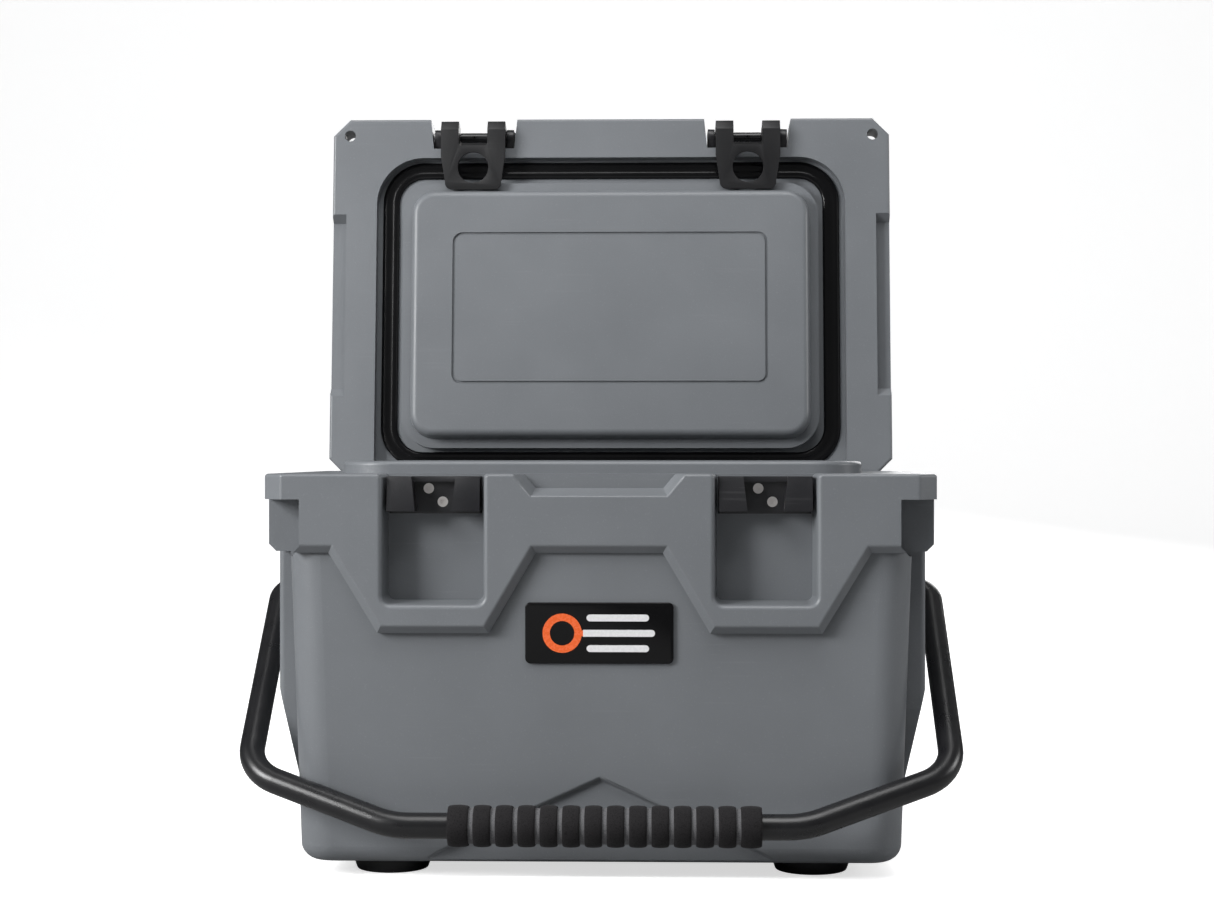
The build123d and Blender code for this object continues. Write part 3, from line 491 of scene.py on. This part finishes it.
finishes = {
    "shell_plastic": mouldedMaterial("shellPlastic", shellLook),
    "plug_plastic": mouldedMaterial("plugPlastic", blackLook),
    "black_plastic": mouldedMaterial("blackPlastic", blackLook),
    "latch_rubber": mouldedMaterial("latchRubber", rubberLook),
    "foot_rubber": mouldedMaterial("footRubber", rubberLook),
    "gasket_rubber": mouldedMaterial("sealRubber", sealLook),
    "badge_black": mouldedMaterial("badgeGloss", badgeLook),
    "badge_colour": emblemMaterial("emblemColours", emblemLook),
    "handle_coating": metalMaterial("handleCoating", coatLook),
    "black_steel": metalMaterial("pinCoating", coatLook),
    "stainless_steel": metalMaterial("stainless", steelLook),
    "grip_black_foam": foamMaterial("gripFoamBlack", gripBlackLook),
    "grip_grey_foam": foamMaterial("gripFoamGrey", gripGreyLook),
    "wall_foam": foamMaterial("wallFoam", wallFoamLook),
}
slotOf = {row["node"]: row["material_slot"] for row in frame["record"]["subparts"]}
bodies = frame["record"]["behaviour"]["bodies"]
bodyOf = {node: body for body, names in bodies.items() for node in names}


def giveFinish(piece, slotName):
    piece.data.materials.clear()
    piece.data.materials.append(finishes[slotName])


for node, piece in nodes.items():
    piece.data.materials.clear()
    piece.data.materials.append(finishes[slotOf[node]])
print("materials on every CAD piece")

# Foam grip on the handle: rings with rounded shoulders on a softer core
gripValues = {
    "rings": 14,
    "endWidth": 0.0152,
    "gap": 0.0034,
    "crown": 0.0006,
    "shoulder": 3.2,
    "squareness": 0.8,
    "profileSteps": 28,
    "roundSteps": 64,
    "sink": 0.0005,
    "tubeRadius": 0.0095,
    "coreSteps": 60,
    "coreEase": 0.0006,
}


def revolveAlongX(x, r, middle, steps):
    # each profile point (x, r) goes once round the grip's axis: y and z are r times the cosine and sine
    turn = np.linspace(0, 2 * np.pi, steps, endpoint=False)
    xs = np.repeat(x[..., None], steps, axis=-1)
    ys = middle[1] + r[..., None] * np.cos(turn)
    zs = middle[2] + r[..., None] * np.sin(turn)
    return np.stack([xs, ys, zs], axis=-1)


def gripRings(values):
    low, high = (np.array(v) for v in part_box("grip_rings"))
    coreLow, coreHigh = (np.array(v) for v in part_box("grip_core"))
    middle = (low + high) / 2
    outer = (high[2] - low[2]) / 2
    inner = (coreHigh[2] - coreLow[2]) / 2 - values["sink"]
    count = values["rings"]
    spare = high[0] - low[0] - 2 * values["endWidth"] - (count - 1) * values["gap"]
    plain = spare / (count - 2)
    widths = np.full(count, plain)
    widths[[0, -1]] = values["endWidth"]
    starts = low[0] + np.concatenate([[0], np.cumsum(widths + values["gap"])[:-1]])
    # a rounded box: powers of the cosine and sine under one push the corners out, and the crown
    # takes a little off towards the ring's edges
    t = np.linspace(0, 2 * np.pi, values["profileSteps"], endpoint=False)
    power = 2 / values["shoulder"] * values["squareness"]
    across = np.sign(np.cos(t)) * np.abs(np.cos(t)) ** power
    up = np.sign(np.sin(t)) * np.abs(np.sin(t)) ** power
    x = starts[:, None] + widths[:, None] / 2 * (1 + across[None, :])
    crown = values["crown"] * across**2 * (up > 0)
    r = (outer + inner) / 2 + (outer - inner) / 2 * up - crown
    points = revolveAlongX(x, np.broadcast_to(r, x.shape), middle, values["roundSteps"])
    one = gridFaces(values["profileSteps"], values["roundSteps"], True, True)
    offsets = np.arange(count) * values["profileSteps"] * values["roundSteps"]
    faces = (one[None] + offsets[:, None, None]).reshape(-1, 4)
    return meshPiece("gripRings", points, faces)


def gripCore(values):
    low, high = (np.array(v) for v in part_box("grip_core"))
    middle = (low + high) / 2
    radius = (high[2] - low[2]) / 2
    steps = values["coreSteps"]
    # the outside first, then back along the tube inside it
    along = (high[0] - low[0]) * np.linspace(0, 1, steps)
    x = np.concatenate([low[0] + along, high[0] - along])
    r = np.concatenate([np.full(steps, radius), np.full(steps, values["tubeRadius"])])
    r[[0, steps - 1]] -= values["coreEase"]
    points = revolveAlongX(x, r, middle, values["roundSteps"])
    return meshPiece("gripCore", points, gridFaces(2 * steps, values["roundSteps"], True, True))


rings = gripRings(gripValues)
core = gripCore(gripValues)
for piece, node in ((rings, "grip_rings"), (core, "grip_core")):
    giveFinish(piece, slotOf[node])
    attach(piece, bodyOf[node])
    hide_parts(node)
print("foam grip done")

# Lid seal: a bulb with an inner lip, carried round the lid's channel
sealValues = {
    "outerHalf": 0.2055,
    "frontY": -0.12475,
    "backY": 0.153,
    "cornerRadius": 0.0375,
    "width": 0.0150,
    "height": 0.0030,
    "clearance": 0.0003,
    "edgePower": 0.7,
    "risePower": 0.6,
    "grooveDepth": 0.38,
    "grooveSpread": 0.035,
    "cornerSteps": 22,
    "sideSteps": 30,
    "profileSteps": 36,
}


def roundedPath(halfX, lowY, highY, radius, cornerSteps, sideSteps):
    # straight sides joined by quarter circles: points and the outward direction at each, anticlockwise
    corners = [(halfX - radius, highY - radius, 0), (radius - halfX, highY - radius, 1),
               (radius - halfX, lowY + radius, 2), (halfX - radius, lowY + radius, 3)]
    points, outward = [], []
    for cx, cy, quarter in corners:
        turn = np.linspace(0, np.pi / 2, cornerSteps) + quarter * np.pi / 2
        normal = np.stack([np.cos(turn), np.sin(turn)], axis=-1)
        points.append(np.array([cx, cy]) + radius * normal)
        outward.append(normal)
    path, normals = [], []
    for k in range(4):
        path.append(points[k])
        normals.append(outward[k])
        share = np.linspace(0, 1, sideSteps + 2)[1:-1, None]
        path.append(points[k][-1] * (1 - share) + points[(k + 1) % 4][0] * share)
        normals.append(np.repeat(outward[k][-1:], sideSteps, axis=0))
    return np.concatenate(path), np.concatenate(normals)


def openLid(points):
    # closed places turned open about the hinge: y and z swing by the lid's travel
    hinge = [j for j in frame["joints"] if j["name"] == "lid_hinge"][0]
    centre = np.array(hinge["pos_m"])
    angle = -math.radians(hinge["range_deg"][1])
    y = points[..., 1] - centre[1]
    z = points[..., 2] - centre[2]
    turned = points.copy()
    turned[..., 1] = centre[1] + y * math.cos(angle) - z * math.sin(angle)
    turned[..., 2] = centre[2] + y * math.sin(angle) + z * math.cos(angle)
    return turned


def lidSeal(values, bottomZ):
    half = values["width"] / 2
    path, normals = roundedPath(
        values["outerHalf"] - half, values["frontY"] + half, values["backY"] - half,
        values["cornerRadius"] - half, values["cornerSteps"], values["sideSteps"],
    )
    # across the seal: a flat base, two round lobes and a groove between them
    t = np.linspace(0, 2 * np.pi, values["profileSteps"], endpoint=False)
    across = half * np.sign(np.cos(t)) * np.abs(np.cos(t)) ** values["edgePower"]
    rise = np.abs(np.sin(t)) ** values["risePower"]
    groove = np.exp(-((across / half) ** 2) / values["grooveSpread"])
    lobes = 1 - values["grooveDepth"] * groove
    height = np.where(np.sin(t) < 0, -values["height"] * rise * lobes, 0)
    xy = path[:, None, :] + normals[:, None, :] * across[None, :, None]
    z = np.broadcast_to(bottomZ + height, xy.shape[:2])
    points = openLid(np.concatenate([xy, z[..., None]], axis=-1))
    return meshPiece("lidSeal", points, gridFaces(len(path), values["profileSteps"], True, True))


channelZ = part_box("body_shell")[1].z + sealValues["clearance"] + sealValues["height"]
seal = lidSeal(sealValues, channelZ)
giveFinish(seal, slotOf["lid_gasket"])
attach(seal, bodyOf["lid_gasket"])
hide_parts("lid_gasket")
print("lid seal done")

# Moulded and rubber fittings with rounded edges
fittingValues = {"steps": 3, "angle": 28}
fittingEdges = {
    "latch_paddle_left": ("latchPaddleLeft", 0.0011),
    "latch_paddle_right": ("latchPaddleRight", 0.0011),
    "latch_bracket_left": ("latchBracketLeft", 0.0009),
    "latch_bracket_right": ("latchBracketRight", 0.0009),
    "keeper_left": ("keeperLeft", 0.0009),
    "keeper_right": ("keeperRight", 0.0009),
    "badge_plate": ("badgePlate", 0.0008),
}
for node, (name, edge) in fittingEdges.items():
    piece = softCopy(node, name, {"edge": edge, **fittingValues})
    giveFinish(piece, slotOf[node])
    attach(piece, bodyOf[node])
    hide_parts(node)
print("rounded fittings done")

# Floor, backdrop and lights
stageValues = {
    "halfWidth": 9.0,
    "front": -9.0,
    "turnAt": 3.0,
    "turnRadius": 1.5,
    "height": 7.0,
    "acrossSteps": 9,
    "floorSteps": 19,
    "turnSteps": 24,
    "paper": (0.9, 0.9, 0.9),
    "bounce": (0.34, 0.34, 0.34),
    "glow": 0.64,
}


def seenOrFelt(tree, seen, felt, output):
    # the camera gets one shader, and light that bounces off to the object the other
    mix = tree.nodes.new("ShaderNodeMixShader")
    rays = tree.nodes.new("ShaderNodeLightPath")
    tree.links.new(rays.outputs["Is Camera Ray"], mix.inputs[0])
    tree.links.new(felt.outputs[0], mix.inputs[1])
    tree.links.new(seen.outputs[0], mix.inputs[2])
    tree.links.new(mix.outputs[0], tree.nodes[output].inputs["Surface"])


def addBackdrop(values):
    # a paper sweep: flat floor, a quarter circle, then a straight wall
    radius = values["turnRadius"]
    turn = np.linspace(0, np.pi / 2, values["turnSteps"])
    floorY = np.linspace(values["front"], values["turnAt"], values["floorSteps"] + 1)[:-1]
    turnY = values["turnAt"] + radius * np.sin(turn)
    y = np.concatenate([floorY, turnY, [values["turnAt"] + radius]])
    z = np.concatenate([np.zeros(len(floorY)), radius * (1 - np.cos(turn)), [values["height"]]])
    x = np.linspace(-values["halfWidth"], values["halfWidth"], values["acrossSteps"])
    points = np.stack(np.broadcast_arrays(x[:, None], y[None], z[None]), axis=-1)
    sweep = meshPiece("backdrop", points, gridFaces(len(x), len(y), False, False))
    material, tree, shader, place = startMaterial("backdropPaper")
    shader.inputs["Base Color"].default_value = (*values["paper"], 1.0)
    shader.inputs["Emission Color"].default_value = (1.0, 1.0, 1.0, 1.0)
    shader.inputs["Emission Strength"].default_value = values["glow"]
    rough = spreadNode(tree, noiseNode(tree, place, 3.0), 0.3, 0.7, 0.8, 0.9)
    tree.links.new(rough, shader.inputs["Roughness"])
    # what the object sees of the paper is greyer than what the camera sees
    felt = tree.nodes.new("ShaderNodeBsdfDiffuse")
    felt.inputs["Color"].default_value = (*values["bounce"], 1.0)
    seenOrFelt(tree, shader, felt, "Material Output")
    sweep.data.materials.append(material)


lightValues = [
    {"name": "keyLeft", "place": (-2.1, -1.5, 1.25), "aim": (0, 0, 0.25), "size": 1.1, "power": 90},
    {"name": "topSoft", "place": (0.1, -0.9, 2.4), "aim": (0, 0, 0.2), "size": 1.4, "power": 34},
    {"name": "rightEdge", "place": (2.3, -0.2, 0.9), "aim": (0.1, 0, 0.3), "size": 0.7, "power": 14},
    {"name": "backSoft", "place": (1.0, 2.9, 1.7), "aim": (0, 0, 0.3), "size": 2.2, "power": 60},
]


def addLights(rows):
    for row in rows:
        data = bpy.data.lights.new(row["name"], "AREA")
        data.energy = row["power"]
        data.size = row["size"]
        light = bpy.data.objects.new(row["name"], data)
        light.location = row["place"]
        aim = Vector(row["aim"]) - Vector(row["place"])
        light.rotation_euler = aim.to_track_quat("-Z", "Y").to_euler()
        bpy.context.collection.objects.link(light)


def addRoom(values):
    # a white room seen directly, that lights the object more gently than it looks
    world = bpy.data.worlds.new("paleRoom")
    world.use_nodes = True
    tree = world.node_tree
    seen = tree.nodes["Background"]
    seen.inputs["Color"].default_value = (1.0, 1.0, 1.0, 1.0)
    seen.inputs["Strength"].default_value = values["seen"]
    glow = tree.nodes.new("ShaderNodeBackground")
    glow.inputs["Color"].default_value = (*values["tint"], 1.0)
    glow.inputs["Strength"].default_value = values["glow"]
    seenOrFelt(tree, seen, glow, "World Output")
    bpy.context.scene.world = world
    bpy.context.scene.view_settings.view_transform = values["view"]


roomValues = {"seen": 1.05, "glow": 0.16, "tint": (0.97, 0.985, 1.0), "view": "Standard"}
addRoom(roomValues)
addBackdrop(stageValues)
addLights(lightValues)
print("backdrop and lights done")

bpy.context.view_layer.update()
